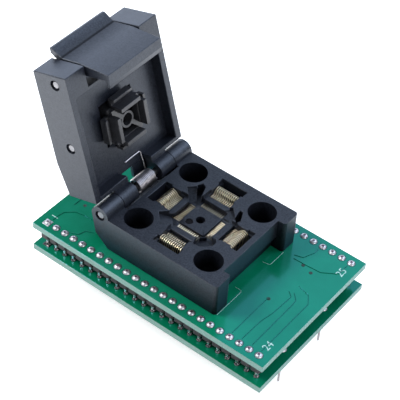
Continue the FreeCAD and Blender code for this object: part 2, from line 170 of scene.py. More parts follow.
def mixColour(tree, factor, first, second):
    node = tree.nodes.new("ShaderNodeMix")
    node.data_type = "RGBA"
    for socket, value in ((node.inputs[0], factor), (node.inputs[6], first), (node.inputs[7], second)):
        if isinstance(value, bpy.types.NodeSocket):
            tree.links.new(value, socket)
        else:
            socket.default_value = value
    return node.outputs[2]


def mathStep(tree, operation, first, second=None):
    node = tree.nodes.new("ShaderNodeMath")
    node.operation = operation
    for socket, value in zip(node.inputs, (first, second)):
        if isinstance(value, bpy.types.NodeSocket):
            tree.links.new(value, socket)
        elif value is not None:
            socket.default_value = value
    return node.outputs[0]


def addBump(tree, shader, height, depth, strength=1.0):
    bump = addNode(tree, "ShaderNodeBump", (-300, -400), {"Strength": strength, "Distance": depth})
    tree.links.new(height, bump.inputs["Height"])
    tree.links.new(bump.outputs["Normal"], shader.inputs["Normal"])


def paintedShadeLow(low, high, least):
    # painted shade: less tone and shine towards the foot of the base and in its pockets, where shade falls
    def build(tree, place):
        split = addNode(tree, "ShaderNodeSeparateXYZ", (-1100, 500))
        fall = addNode(tree, "ShaderNodeMapRange", (-900, 500), {"From Min": low, "From Max": high,
                                                                "To Min": least, "To Max": 1.0})
        tree.links.new(place, split.inputs[0])
        tree.links.new(split.outputs["Z"], fall.inputs["Value"])
        return fall.outputs["Result"]
    return build


def paintedCreaseShade(spot, near, far, least):
    # painted shade: a dark line along the inner corner that runs across the lever, where shade falls in the
    # crease
    def build(tree, place):
        flat = addNode(tree, "ShaderNodeVectorMath", (-1100, 500))
        flat.operation = "MULTIPLY"
        flat.inputs[1].default_value = (1.0, 0.0, 1.0)
        gap = addNode(tree, "ShaderNodeVectorMath", (-900, 500))
        gap.operation = "DISTANCE"
        gap.inputs[1].default_value = (spot.x, 0.0, spot.z)
        fall = addNode(tree, "ShaderNodeMapRange", (-700, 500), {"From Min": near, "From Max": far,
                                                                "To Min": least, "To Max": 1.0})
        tree.links.new(place, flat.inputs[0])
        tree.links.new(flat.outputs[0], gap.inputs[0])
        tree.links.new(gap.outputs["Value"], fall.inputs["Value"])
        return fall.outputs["Result"]
    return build


mottling = {"slowTone": (0.8, 1.1), "fineTone": (0.1, 1.0), "slowShine": (0.92, 1.08),
            "fineShine": (0.72, 1.2)}
black = (0.0, 0.0, 0.0, 1.0)


def makePlastic(name, dark, light, roughness, grainDepth, gloss=0.5, tint=(1.0, 1.0, 1.0, 1.0), dim=None):
    # moulded plastic whose grain shifts tone, shine and roughness
    material, tree, shader, place = startMaterial(name, {"Specular Tint": tint})
    grain = placeGroup(tree, grainGroup, place, {"Grain Scale": 2600.0, "Cloud Scale": 900.0})
    slow, fine = grain.outputs["Cloud"], grain.outputs["Height"]
    tree.links.new(remap(tree, fine, *roughness), shader.inputs["Roughness"])
    mottle = mathStep(tree, "MULTIPLY", remap(tree, slow, *mottling["slowTone"]),
                      remap(tree, fine, *mottling["fineTone"]))
    colour = mixColour(tree, mottle, dark, light)
    shine = mathStep(tree, "MULTIPLY", remap(tree, slow, *mottling["slowShine"]),
                     remap(tree, fine, *(level * gloss for level in mottling["fineShine"])))
    # optional painted shade darkens tone and shine
    if dim:
        fade = dim(tree, place)
        shine = mathStep(tree, "MULTIPLY", shine, fade)
        colour = mixColour(tree, fade, black, colour)
    tree.links.new(shine, shader.inputs["Specular IOR Level"])
    tree.links.new(colour, shader.inputs["Base Color"])
    addBump(tree, shader, fine, grainDepth)
    return material


def shadeTips(tree, place):
    # the tips towards hinge and back lie in shade, and so do the ends beside the round pocket
    tips = {"reach": 5.6 * mm, "shade": 0.62, "pocket": -6.4 * mm, "pocketReach": 7.0 * mm,
            "pocketShade": 0.9}
    split = addNode(tree, "ShaderNodeSeparateXYZ", (-1100, 500))
    tree.links.new(place, split.inputs[0])
    across = mathStep(tree, "SUBTRACT", split.outputs["Y"], split.outputs["X"])
    reach = mathStep(tree, "MAXIMUM", mathStep(tree, "ABSOLUTE", split.outputs["X"]),
                     mathStep(tree, "ABSOLUTE", split.outputs["Y"]))
    away = mathStep(tree, "MULTIPLY", mathStep(tree, "GREATER_THAN", across, 0.0),
                    mathStep(tree, "LESS_THAN", reach, tips["reach"]))
    pocket = mathStep(tree, "MULTIPLY", mathStep(tree, "LESS_THAN", across, tips["pocket"]),
                      mathStep(tree, "LESS_THAN", reach, tips["pocketReach"]))
    shade = mathStep(tree, "MAXIMUM", mathStep(tree, "MULTIPLY", away, tips["shade"]),
                     mathStep(tree, "MULTIPLY", pocket, tips["pocketShade"]))
    return mathStep(tree, "SUBTRACT", 1.0, shade)


def makeMetal(name, dark, light, roughness, stretch, markDepth, scale=6000.0, metallic=1.0, dim=None):
    # plated or drawn metal, with marks along its own direction
    material, tree, shader, place = startMaterial(name, {"Metallic": metallic})
    marks = placeGroup(tree, drawnGroup, place, {"Stretch": stretch, "Scale": scale})
    grain = placeGroup(tree, grainGroup, place, {"Grain Scale": 5000.0, "Cloud Scale": 700.0})
    colour = mixColour(tree, remap(tree, grain.outputs["Cloud"], 0.0, 1.0), dark, light)
    # optional painted shade darkens the colour
    if dim:
        colour = mixColour(tree, dim(tree, place), black, colour)
    tree.links.new(colour, shader.inputs["Base Color"])
    tree.links.new(remap(tree, grain.outputs["Cloud"], *roughness), shader.inputs["Roughness"])
    addBump(tree, shader, marks.outputs["Height"], markDepth)
    return material


coated = {"Specular IOR Level": 0.85, "Specular Tint": (0.14, 0.72, 1.0, 1.0)}


def makeBoard():
    # green mask over faint weave, with the bare laminate along the cut edges
    board = {"mask": (0.001, 0.132, 0.062, 1.0), "maskThin": (0.002, 0.156, 0.078, 1.0),
             "edge": (0.30, 0.42, 0.35, 1.0), "edgeDark": (0.17, 0.28, 0.22, 1.0), "edgeBand": 0.03 * mm,
             "roughness": (0.11, 0.17), "edgeRough": 0.45, "layers": 2400.0, "weave": 1100.0,
             "weaveDepth": 0.004 * mm, "weaveStrength": 0.5}
    material, tree, shader, place = startMaterial("boardMask", coated)
    grain = placeGroup(tree, grainGroup, place, {"Grain Scale": 3000.0, "Cloud Scale": 160.0})
    split = addNode(tree, "ShaderNodeSeparateXYZ", (-1100, 300))
    tree.links.new(place, split.inputs[0])
    sides = []
    for axis, limit in (("X", boardHigh.x), ("Y", boardHigh.y)):
        size = mathStep(tree, "ABSOLUTE", split.outputs[axis])
        sides.append(mathStep(tree, "GREATER_THAN", size, limit - board["edgeBand"]))
    edge = mathStep(tree, "MAXIMUM", sides[0], sides[1])
    cloud = remap(tree, grain.outputs["Cloud"], 0.0, 1.0)
    mask = mixColour(tree, cloud, board["mask"], board["maskThin"])
    # the glass layers show as thin bands in the cut edge
    layers = addNode(tree, "ShaderNodeTexWave", (-900, 500), {"Scale": board["layers"], "Distortion": 1.2,
                                                             "Detail": 2.0})
    layers.bands_direction = "Z"
    tree.links.new(place, layers.inputs["Vector"])
    cut = mixColour(tree, layers.outputs["Fac"], board["edgeDark"], board["edge"])
    tree.links.new(mixColour(tree, edge, mask, cut), shader.inputs["Base Color"])
    rough = mathStep(tree, "MULTIPLY", edge, board["edgeRough"])
    rough = mathStep(tree, "ADD", rough, remap(tree, grain.outputs["Cloud"], *board["roughness"]))
    tree.links.new(rough, shader.inputs["Roughness"])
    weave = addNode(tree, "ShaderNodeTexVoronoi", (-900, -500), {"Scale": board["weave"], "Randomness": 0.35})
    tree.links.new(place, weave.inputs["Vector"])
    height = mathStep(tree, "ADD", weave.outputs["Distance"], grain.outputs["Height"])
    addBump(tree, shader, height, board["weaveDepth"], board["weaveStrength"])
    return material


def makeInk(name, colour, worn, roughness=(0.45, 0.6), values=()):
    # a thin coat on the board, uneven in tone
    depth = 0.003 * mm
    material, tree, shader, place = startMaterial(name, dict(values))
    grain = placeGroup(tree, grainGroup, place, {"Grain Scale": 7000.0, "Cloud Scale": 2500.0})
    mixed = mixColour(tree, remap(tree, grain.outputs["Cloud"], 0.0, 1.0), worn, colour)
    tree.links.new(mixed, shader.inputs["Base Color"])
    tree.links.new(remap(tree, grain.outputs["Height"], *roughness), shader.inputs["Roughness"])
    addBump(tree, shader, grain.outputs["Height"], depth)
    return material


boardMask = makeBoard()
mattePlastic = makePlastic("mattePlastic", (0.003, 0.003, 0.004, 1.0), (0.006, 0.006, 0.008, 1.0),
                           (0.70, 0.85), 0.010 * mm, gloss=0.1)
navy = {"dark": (0.004, 0.005, 0.008, 1.0), "light": (0.014, 0.016, 0.024, 1.0), "roughness": (0.32, 0.50),
        "grainDepth": 0.016 * mm, "gloss": 0.47, "tint": (0.80, 0.88, 1.0, 1.0)}
foot = {"low": deck, "high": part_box("socket_base")[1].z, "least": 0.22}
creaseShade = {"spot": lidPoint(34.4, 0.0, 6.75), "near": 0.12 * mm, "far": 0.45 * mm, "least": 0.3}
socketPlastic = makePlastic("socketPlastic", **navy)
# the base's plastic carries painted shade towards its foot and in its pockets
basePlastic = makePlastic("basePlastic", **{**navy, "gloss": 0.60, "dim": paintedShadeLow(**foot)})
# the lever's plastic carries a painted shade line in its crease
leverPlastic = makePlastic("leverPlastic", **{**navy, "gloss": 0.54, "dim": paintedCreaseShade(**creaseShade)})
padPlastic = makePlastic("padPlastic", (0.020, 0.020, 0.023, 1.0), (0.034, 0.034, 0.037, 1.0),
                         (0.36, 0.48), 0.010 * mm, gloss=0.45)
stripPlastic = makePlastic("stripPlastic", (0.006, 0.006, 0.007, 1.0), (0.012, 0.012, 0.013, 1.0),
                           (0.30, 0.42), 0.010 * mm, gloss=0.3)
tinnedPin = makeMetal("tinnedPin", (0.50, 0.44, 0.43, 1.0), (0.76, 0.68, 0.67, 1.0), (0.28, 0.42),
                      (1.0, 1.0, 0.12), 0.006 * mm)
solderTin = makeMetal("solderTin", (0.38, 0.375, 0.405, 1.0), (0.61, 0.60, 0.635, 1.0), (0.34, 0.50),
                      (1.0, 1.0, 1.0), 0.030 * mm, scale=1800.0, metallic=0.9)
shadedSolder = makeMetal("shadedSolder", (0.10, 0.10, 0.10, 1.0), (0.20, 0.19, 0.20, 1.0), (0.16, 0.28),
                         (1.0, 1.0, 1.0), 0.020 * mm, scale=1800.0)
pinEnd = makeMetal("pinEnd", (0.08, 0.05, 0.07, 1.0), (0.16, 0.11, 0.14, 1.0), (0.40, 0.55),
                   (1.0, 1.0, 0.2), 0.006 * mm)
dipTin = makeMetal("dipTin", (0.70, 0.58, 0.58, 1.0), (0.90, 0.80, 0.79, 1.0), (0.30, 0.45),
                   (1.0, 1.0, 0.12), 0.006 * mm, metallic=0.4)
goldContact = makeMetal("goldContact", (0.86, 0.70, 0.44, 1.0), (1.0, 0.92, 0.72, 1.0), (0.24, 0.36),
                        (1.0, 1.0, 1.0), 0.003 * mm, dim=shadeTips)
steelPin = makeMetal("steelPin", (0.12, 0.12, 0.13, 1.0), (0.26, 0.26, 0.27, 1.0), (0.30, 0.42),
                     (1.0, 0.1, 1.0), 0.004 * mm)
springWire = makeMetal("springWire", (0.36, 0.34, 0.35, 1.0), (0.58, 0.55, 0.56, 1.0), (0.30, 0.42),
                       (1.0, 1.0, 1.0), 0.003 * mm)
whiteInk = makeInk("whiteInk", (0.44, 0.62, 0.60, 1.0), (0.22, 0.42, 0.40, 1.0))
darkTrace = makeInk("darkTrace", (0.001, 0.080, 0.046, 1.0), (0.002, 0.098, 0.056, 1.0), (0.11, 0.17), coated)
# a darker ring where the mask stops round each joint, which also stands in as painted shade at the joint's
# foot
maskGapShade = makeInk("maskGapShade", (0.004, 0.060, 0.034, 1.0), (0.006, 0.080, 0.044, 1.0), (0.2, 0.3), coated)
viaMetal = makeInk("viaMetal", (0.002, 0.012, 0.010, 1.0), (0.004, 0.030, 0.022, 1.0))

nodeFinish = {"upper_board": boardMask, "lower_board": boardMask, "header_strip": stripPlastic,
              "dip_strip": stripPlastic, "header_pins": tinnedPin, "dip_pins": dipTin,
              "solder_joints": solderTin, "socket_base": basePlastic, "contacts": goldContact,
              "hinge_pin": steelPin, "hinge_spring": springWire, "lid": socketPlastic,
              "latch_pin": steelPin, "pad_pin": steelPin, "latch_spring": springWire,
              "latch_lever": leverPlastic, "pressure_pad": padPlastic}


def finishOf(node):
    starts = [start for start in nodeFinish if node.startswith(start)]
    return nodeFinish[max(starts, key=len)]


for name, node in frame["nodes"].items():
    for materialSlot in node.material_slots:
        materialSlot.material = finishOf(name)
print("materials on", len(frame["nodes"]), "nodes")


# Placing and dressing

def addPiece(name, mesh, body, replaced=()):
    piece = bpy.data.objects.new(name, mesh)
    bpy.context.scene.collection.objects.link(piece)
    if body:
        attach(piece, body)
    if replaced:
        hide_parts(*replaced)
    return piece


def meshFrom(shape, name):
    mesh = bpy.data.meshes.new(name)
    shape.to_mesh(mesh)
    shape.free()
    return mesh


def smoothShading(mesh, degrees=35.0):
    mesh.polygons.foreach_set("use_smooth", [True] * len(mesh.polygons))
    mesh.set_sharp_from_angle(angle=math.radians(degrees))


rounds = {"socket_base": 0.11, "lid": 0.16, "latch_lever": 0.14, "pressure_pad": 0.09, "board": 0.06,
          "header_pins": 0.06, "shortest": 0.42, "shortestSmall": 0.3, "flatTurn": 0.5, "sharpTurn": 40.0,
          "thinSpot": (3.52, -3.52), "thinReach": 1.6}


def dressNode(node, body, width, wanted, segments=2):
    # a merged copy of a node whose sharp edges get a small round
    shape = bmesh.new()
    shape.from_mesh(frame["nodes"][node].data)
    bmesh.ops.remove_doubles(shape, verts=shape.verts, dist=weldGap)
    bmesh.ops.dissolve_limit(shape, angle_limit=math.radians(rounds["flatTurn"]), verts=shape.verts,
                             edges=shape.edges)
    weight = shape.edges.layers.float.new("bevel_weight_edge")
    for edge in shape.edges:
        turn = edge.calc_face_angle(0.0) if len(edge.link_faces) == 2 else 0.0
        if turn > math.radians(rounds["sharpTurn"]) and wanted(edge):
            edge[weight] = 1.0
    mesh = meshFrom(shape, node + "_dressed")
    mesh.materials.append(finishOf(node))
    smoothShading(mesh, degrees=20.0)
    piece = addPiece(node + "_dressed", mesh, body, (node,))
    bevel = piece.modifiers.new("edgeRound", "BEVEL")
    bevel.limit_method = "WEIGHT"
    bevel.width = width * mm
    bevel.segments = segments
    bevel.use_clamp_overlap = False
    flat = piece.modifiers.new("flatFaces", "WEIGHTED_NORMAL")
    flat.keep_sharp = True


def outerEdge(edge):
    # the outline of a board, not the holes in it
    middle = (edge.verts[0].co + edge.verts[1].co) / 2
    return abs(middle.x) > boardHigh.x - weldGap or abs(middle.y) > boardHigh.y - weldGap


def longEdge(edge):
    return edge.is_convex and edge.calc_length() > rounds["shortest"] * mm


def smallEdge(edge):
    return edge.is_convex and edge.calc_length() > rounds["shortestSmall"] * mm


def baseEdge(edge):
    # the wall between the seat and the round pocket is too thin at its middle for a round
    x, y = rounds["thinSpot"]
    gaps = [math.hypot(vert.co.x - x * mm, vert.co.y - y * mm) for vert in edge.verts]
    return longEdge(edge) and min(gaps) >= rounds["thinReach"] * mm


dressNode("socket_base", "base", rounds["socket_base"], baseEdge)
dressNode("lid", "lid_assembly", rounds["lid"], longEdge)
dressNode("latch_lever", "latch", rounds["latch_lever"], smallEdge)
dressNode("pressure_pad", "pad", rounds["pressure_pad"], longEdge)
for node in ("upper_board", "lower_board"):
    dressNode(node, "base", rounds["board"], outerEdge)
for node in ("header_pins_front", "header_pins_back"):
    dressNode(node, "base", rounds["header_pins"], smallEdge, segments=1)
print("edges dressed")


# Geometry Nodes

def newTree(name, inputs):
    tree = bpy.data.node_groups.new(name, "GeometryNodeTree")
    tree.interface.new_socket("Geometry", in_out="INPUT", socket_type="NodeSocketGeometry")
    for label, kind, value in inputs:
        socket = tree.interface.new_socket(label, in_out="INPUT", socket_type=kind)
        if value is not None:
            socket.default_value = value
    tree.interface.new_socket("Geometry", in_out="OUTPUT", socket_type="NodeSocketGeometry")
    return tree, tree.nodes.new("NodeGroupInput"), tree.nodes.new("NodeGroupOutput")


def joinNodes(tree, *pairs):
    for output, socket in pairs:
        tree.links.new(output, socket)


def closeTree(tree, source, out, geometry):
    # plain faces of one material at the end of every tree
    realize = addNode(tree, "GeometryNodeRealizeInstances", (900, 0))
    paint = addNode(tree, "GeometryNodeSetMaterial", (1100, 0))
    joinNodes(tree, (geometry, realize.inputs[0]), (realize.outputs[0], paint.inputs["Geometry"]),
              (source.outputs["Material"], paint.inputs["Material"]), (paint.outputs[0], out.inputs[0]))
    return tree


def repeatAlong(tree, source, instance):
    # copies on a straight line of equal steps
    line = addNode(tree, "GeometryNodeMeshLine", (300, 300), mode="OFFSET")
    copies = addNode(tree, "GeometryNodeInstanceOnPoints", (600, 200))
    joinNodes(tree, (source.outputs["Count"], line.inputs["Count"]),
              (source.outputs["Start"], line.inputs["Start Location"]),
              (source.outputs["Step"], line.inputs["Offset"]),
              (line.outputs["Mesh"], copies.inputs["Points"]), (instance, copies.inputs["Instance"]))
    return copies


repeatInputs = [("Count", "NodeSocketInt", 1), ("Start", "NodeSocketVector", (0.0, 0.0, 0.0)),
                ("Step", "NodeSocketVector", (0.0, 0.0, 0.0)), ("Material", "NodeSocketMaterial", None)]


def makeStripTree():
    # a flat strip along a path, its bends rounded and its edges eased, repeated along a line
    tree, source, out = newTree("stripAlongPath", [
        ("Width", "NodeSocketFloat", 0.25 * mm), ("Thickness", "NodeSocketFloat", 0.15 * mm),
        ("Bend Radius", "NodeSocketFloat", 0.3 * mm), ("Edge Radius", "NodeSocketFloat", 0.03 * mm),
        *repeatInputs])
    path = addNode(tree, "GeometryNodeMeshToCurve", (-600, 0))
    bends = addNode(tree, "GeometryNodeFilletCurve", (-400, 0), {"Count": 5, "Limit Radius": True}, "POLY")
    profile = addNode(tree, "GeometryNodeCurvePrimitiveQuadrilateral", (-400, -300))
    eased = addNode(tree, "GeometryNodeFilletCurve", (-200, -300), {"Count": 1, "Limit Radius": True}, "POLY")
    sweep = addNode(tree, "GeometryNodeCurveToMesh", (0, 0), {"Fill Caps": True})
    joinNodes(tree, (source.outputs["Geometry"], path.inputs["Mesh"]),
              (path.outputs["Curve"], bends.inputs["Curve"]),
              (source.outputs["Bend Radius"], bends.inputs["Radius"]),
              (source.outputs["Width"], profile.inputs["Width"]),
              (source.outputs["Thickness"], profile.inputs["Height"]),
              (profile.outputs["Curve"], eased.inputs["Curve"]),
              (source.outputs["Edge Radius"], eased.inputs["Radius"]),
              (bends.outputs["Curve"], sweep.inputs["Curve"]),
              (eased.outputs["Curve"], sweep.inputs["Profile Curve"]))
    copies = repeatAlong(tree, source, sweep.outputs["Mesh"])
    return closeTree(tree, source, out, copies.outputs["Instances"])


def makeWireTree():
    # round wire along a path with rounded bends
    tree, source, out = newTree("wireAlongPath", [
        ("Wire Radius", "NodeSocketFloat", 0.2 * mm), ("Bend Radius", "NodeSocketFloat", 0.5 * mm),
        ("Material", "NodeSocketMaterial", None)])
    path = addNode(tree, "GeometryNodeMeshToCurve", (-600, 0))
    bends = addNode(tree, "GeometryNodeFilletCurve", (-400, 0), {"Count": 7, "Limit Radius": True}, "POLY")
    profile = addNode(tree, "GeometryNodeCurvePrimitiveCircle", (-400, -300), {"Resolution": 14})
    sweep = addNode(tree, "GeometryNodeCurveToMesh", (0, 0), {"Fill Caps": True})
    joinNodes(tree, (source.outputs["Geometry"], path.inputs["Mesh"]),
              (path.outputs["Curve"], bends.inputs["Curve"]),
              (source.outputs["Bend Radius"], bends.inputs["Radius"]),
              (source.outputs["Wire Radius"], profile.inputs["Radius"]),
              (bends.outputs["Curve"], sweep.inputs["Curve"]),
              (profile.outputs["Curve"], sweep.inputs["Profile Curve"]))
    return closeTree(tree, source, out, sweep.outputs["Mesh"])


def makeCoilTree():
    # a wound coil of round wire about its own Z
    tree, source, out = newTree("woundCoil", [
        ("Turns", "NodeSocketFloat", 10.0), ("Coil Radius", "NodeSocketFloat", 1.6 * mm),
        ("Length", "NodeSocketFloat", 5.0 * mm), ("Wire Radius", "NodeSocketFloat", 0.2 * mm),
        ("Material", "NodeSocketMaterial", None)])
    turns = addNode(tree, "GeometryNodeCurveSpiral", (-400, 0), {"Resolution": 40})
    profile = addNode(tree, "GeometryNodeCurvePrimitiveCircle", (-400, -300), {"Resolution": 12})
    sweep = addNode(tree, "GeometryNodeCurveToMesh", (0, 0), {"Fill Caps": True})
    joinNodes(tree, (source.outputs["Turns"], turns.inputs["Rotations"]),
              (source.outputs["Coil Radius"], turns.inputs["Start Radius"]),
              (source.outputs["Coil Radius"], turns.inputs["End Radius"]),
              (source.outputs["Length"], turns.inputs["Height"]),
              (source.outputs["Wire Radius"], profile.inputs["Radius"]),
              (turns.outputs["Curve"], sweep.inputs["Curve"]),
              (profile.outputs["Curve"], sweep.inputs["Profile Curve"]))
    return closeTree(tree, source, out, sweep.outputs["Mesh"])


def makeRowTree():
    # one turned shape repeated along a row, each turned and sized a little by chance
    tree, source, out = newTree("rowOfShapes", [
        ("Least Size", "NodeSocketFloat", 1.0), ("Most Turn", "NodeSocketFloat", 0.0),
        ("Seed", "NodeSocketInt", 1), *repeatInputs])
    copies = repeatAlong(tree, source, source.outputs["Geometry"])
    turn = addNode(tree, "FunctionNodeRandomValue", (300, -200))
    size = addNode(tree, "FunctionNodeRandomValue", (300, -450))
    spin = addNode(tree, "ShaderNodeCombineXYZ", (450, -200))
    joinNodes(tree, (source.outputs["Most Turn"], turn.inputs[3]), (turn.outputs[1], spin.inputs["Z"]),
              (source.outputs["Seed"], turn.inputs["Seed"]), (source.outputs["Seed"], size.inputs["Seed"]),
              (source.outputs["Least Size"], size.inputs[2]), (spin.outputs[0], copies.inputs["Rotation"]),
              (size.outputs[1], copies.inputs["Scale"]))
    return closeTree(tree, source, out, copies.outputs["Instances"])


def bakeTree(tree, name, mesh, values, degrees=50.0):
    # runs a tree on a carrier and keeps the plain mesh that it gives
    carrier = bpy.data.objects.new(name + "Carrier", mesh)
    bpy.context.scene.collection.objects.link(carrier)
    builder = carrier.modifiers.new("build", "NODES")
    builder.node_group = tree
    for item in tree.interface.items_tree:
        if item.item_type == "SOCKET" and item.in_out == "INPUT" and item.name in values:
            builder[item.identifier] = values[item.name]
    graph = bpy.context.evaluated_depsgraph_get()
    result = bpy.data.meshes.new_from_object(carrier.evaluated_get(graph))
    carrier.modifiers.clear()
    bpy.data.objects.remove(carrier)
    result.name = name
    smoothShading(result, degrees)
    return result


def pathMesh(paths):
    # bare edges, one run for each path
    points, edges = [], []
    for path in paths:
        first = len(points)
        points += [tuple(point) for point in path]
        edges += [(i, i + 1) for i in range(first, len(points) - 1)]
    mesh = bpy.data.meshes.new("path")
    mesh.from_pydata(points, edges, [])
    return mesh


def turnedMesh(profile, sides=20):
    # a profile of radius and height in millimetres, turned about Z
    shape = bmesh.new()
    turns = [2 * math.pi * i / sides for i in range(sides)]
    rings = []
    for radius, height in profile:
        spots = [(radius * math.cos(turn), radius * math.sin(turn), height) for turn in turns]
        if radius == 0.0:
            spots = spots[:1]
        rings.append([shape.verts.new((x * mm, y * mm, z * mm)) for x, y, z in spots])
    for low, high in zip(rings, rings[1:]):
        for i in range(sides):
            j = (i + 1) % sides
            corners = [low[i % len(low)], low[j % len(low)], high[j % len(high)], high[i % len(high)]]
            shape.faces.new(list(dict.fromkeys(corners)))
    bmesh.ops.recalc_face_normals(shape, faces=shape.faces)
    return meshFrom(shape, "turned")


stripTree = makeStripTree()
wireTree = makeWireTree()
coilTree = makeCoilTree()
rowTree = makeRowTree()


# Solder, pads and pins

solder = {"foot": 0.875, "tip": 0.36, "height": 0.46, "gap": 1.02, "steepRadius": 0.78, "steepHeight": 1.3}
mound = [(0.0, 0.0), (solder["foot"], 0.0), (solder["foot"], 0.05), (0.83, 0.10), (0.76, 0.19), (0.67, 0.28),
         (0.57, 0.36), (0.47, 0.42), (solder["tip"], solder["height"]), (0.0, solder["height"] - 0.03)]
under = [(radius, -height) for radius, height in mound]
steep = [(radius * solder["steepRadius"], height * solder["steepHeight"]) for radius, height in mound]
gapRing = [(0.0, 0.0), (solder["gap"], 0.0), (solder["gap"], 0.012), (0.0, 0.014)]
pinTip = {"side": 0.58, "top": 0.50, "height": 0.3, "edge": 0.07}
even = {"Least Size": 1.0, "Most Turn": 0.0, "Seed": 1}
wild = {"Least Size": 0.94, "Most Turn": 6.0}
slight = {"Least Size": 0.97, "Most Turn": 0.25}


def addRow(name, shape, finish, y, z, chance=even, degrees=50.0, replaced=()):
    # a copy of one shape at each pin of a row
    values = {"Count": pinCount, "Start": (rowStart, y, z), "Step": (pinPitch, 0.0, 0.0), "Material": finish}
    mesh = bakeTree(rowTree, name, shape, {**values, **chance}, degrees)
    addPiece(name, mesh, "base", replaced)


def pinTipMesh():
    # the cut end of a square pin with eased corners
    side, height = pinTip["side"] * mm, pinTip["height"] * mm
    shape = bmesh.new()
    bmesh.ops.create_cube(shape, size=1.0)
    bmesh.ops.scale(shape, vec=(side, side, height), verts=shape.verts)
    bmesh.ops.translate(shape, vec=(0, 0, pinTip["top"] * mm - height / 2), verts=shape.verts)
    bmesh.ops.bevel(shape, geom=shape.edges[:], offset=pinTip["edge"] * mm, segments=1, affect="EDGES")
    return meshFrom(shape, "pinTip")


for side, y, seed in (("front", -headerRow, 3), ("back", headerRow, 8)):
    addRow("solder_" + side, turnedMesh(mound), solderTin, y, deck, {**wild, "Seed": seed},
           degrees=60.0, replaced=("solder_joints_" + side,))
    addRow("pinTips_" + side, pinTipMesh(), pinEnd, y, deck, {**slight, "Seed": seed + 1},
           degrees=30.0)
    # dark rings round the joints: mask opening and painted shade
    addRow("gapShadeRings_" + side, turnedMesh(gapRing, sides=28), maskGapShade, y, deck)
    addRow("underSolder_" + side, turnedMesh(under), solderTin, y, lowerLow.z,
           {**wild, "Seed": seed + 2}, degrees=60.0)
    addRow("lowerSolder_" + side, turnedMesh(steep), shadedSolder, y, lowerHigh.z,
           {**wild, "Seed": seed + 2}, degrees=60.0)

# pin 1 has a square pad on both boards
padProfile = [(0.0, 0.0), (1.30, 0.0), (1.30, 0.03), (1.16, 0.12), (0.0, 0.16)]
squarePad = turnedMesh(padProfile, sides=4)
squarePad.transform(Matrix.Rotation(math.radians(45.0), 4, "Z"))
for name, top, finish in (("firstPad", deck, solderTin), ("firstPadBelow", lowerHigh.z, shadedSolder)):
    one = squarePad.copy()
    one.transform(Matrix.Translation(Vector((rowStart, -headerRow, top))))
    one.materials.append(finish)
    addPiece(name, one, "base")

stripPart = {"half": 1.27, "side": 1.25, "notch": 0.42, "height": 2.54, "edge": 0.06}


def stripPartMesh():
    # one pitch of a strip, with a notch at each corner where it snaps off
    half, side, notch = stripPart["half"], stripPart["side"], stripPart["notch"]
    corners = [(half, side - notch), (half - notch, side), (notch - half, side), (-half, side - notch),
               (-half, notch - side), (notch - half, -side), (half - notch, -side), (half, notch - side)]
    shape = bmesh.new()
    ring = [shape.verts.new((x * mm, y * mm, 0.0)) for x, y in corners]
    grown = bmesh.ops.extrude_face_region(shape, geom=[shape.faces.new(ring)])
    raised = [item for item in grown["geom"] if isinstance(item, bmesh.types.BMVert)]
    bmesh.ops.translate(shape, vec=(0, 0, stripPart["height"] * mm), verts=raised)
    bmesh.ops.recalc_face_normals(shape, faces=shape.faces)
    bmesh.ops.bevel(shape, geom=shape.edges[:], offset=stripPart["edge"] * mm, segments=1, affect="EDGES")
    return meshFrom(shape, "stripPart")


for node, y in (("header_strip_front", -headerRow), ("header_strip_back", headerRow),
                ("dip_strip_front", -dipRow), ("dip_strip_back", dipRow)):
    addRow(node + "_parts", stripPartMesh(), stripPlastic, y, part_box(node)[0].z,
           degrees=20.0, replaced=(node,))

roundPin = {"radius": 0.25, "length": 6.6, "collar": 0.34, "collarFoot": 6.1, "collarEdge": 6.18}
pinProfile = [(0.0, 0.0), (0.10, 0.01), (0.19, 0.08), (0.235, 0.22), (roundPin["radius"], 0.42),
              (roundPin["radius"], roundPin["collarFoot"]), (roundPin["collar"], roundPin["collarEdge"]),
              (roundPin["collar"], roundPin["length"]), (0.0, roundPin["length"])]
for side, y in (("front", -dipRow), ("back", dipRow)):
    addRow("roundPins_" + side, turnedMesh(pinProfile, sides=16), dipTin, y, 0.0,
           replaced=("dip_pins_" + side,))
    addRow("innerSolder_" + side, turnedMesh(mound), solderTin, y, lowerHigh.z,
           {**wild, "Seed": 21}, degrees=60.0)
print("solder and pins made")


# Seat and contacts

# a dark, rough disc lies on the floor of the shallow mark beside the seat's hole and makes it read dark
mark = {"x": -1.6, "y": -1.9, "radius": 0.88, "floor": 6.95, "lift": 0.01}
markProfile = [(0.0, 0.0), (mark["radius"], 0.0), (mark["radius"], mark["lift"]), (0.0, mark["lift"])]
mesh = turnedMesh(markProfile, sides=32)
mesh.transform(Matrix.Translation(Vector((mark["x"] * mm, mark["y"] * mm, deck + mark["floor"] * mm))))
mesh.materials.append(mattePlastic)
addPiece("markFloor", mesh, "base")

contact = {"width": 0.18, "thickness": 0.11, "pitch": 0.5, "count": 12, "bend": 0.9, "edge": 0.04,
           "line": [(3.55, 6.68), (5.0, 6.70), (6.9, 6.0), (7.2, 6.9), (7.7, 7.1), (8.3, 6.8), (8.9, 7.9),
                    (9.8, 8.3), (10.7, 7.9), (11.0, 6.4), (11.0, 0.02)]}
contactPath = [(x * mm, 0.0, deck + z * mm) for x, z in contact["line"]]
firstContact = -contact["pitch"] * (contact["count"] - 1) / 2 * mm
for quarter, side in enumerate(("latch_side", "back", "hinge_side", "front")):
    mesh = bakeTree(stripTree, "springContacts_" + side, pathMesh([contactPath]), {
        "Width": contact["width"] * mm, "Thickness": contact["thickness"] * mm,
        "Bend Radius": contact["bend"] * mm, "Edge Radius": contact["edge"] * mm,
        "Count": contact["count"], "Start": (0.0, firstContact, 0.0),
        "Step": (0.0, contact["pitch"] * mm, 0.0), "Material": goldContact})
    mesh.transform(Matrix.Rotation(math.radians(90.0 * quarter), 4, "Z"))
    addPiece("springContacts_" + side, mesh, "base", ("contacts_" + side,))
print("contacts made")


# Springs

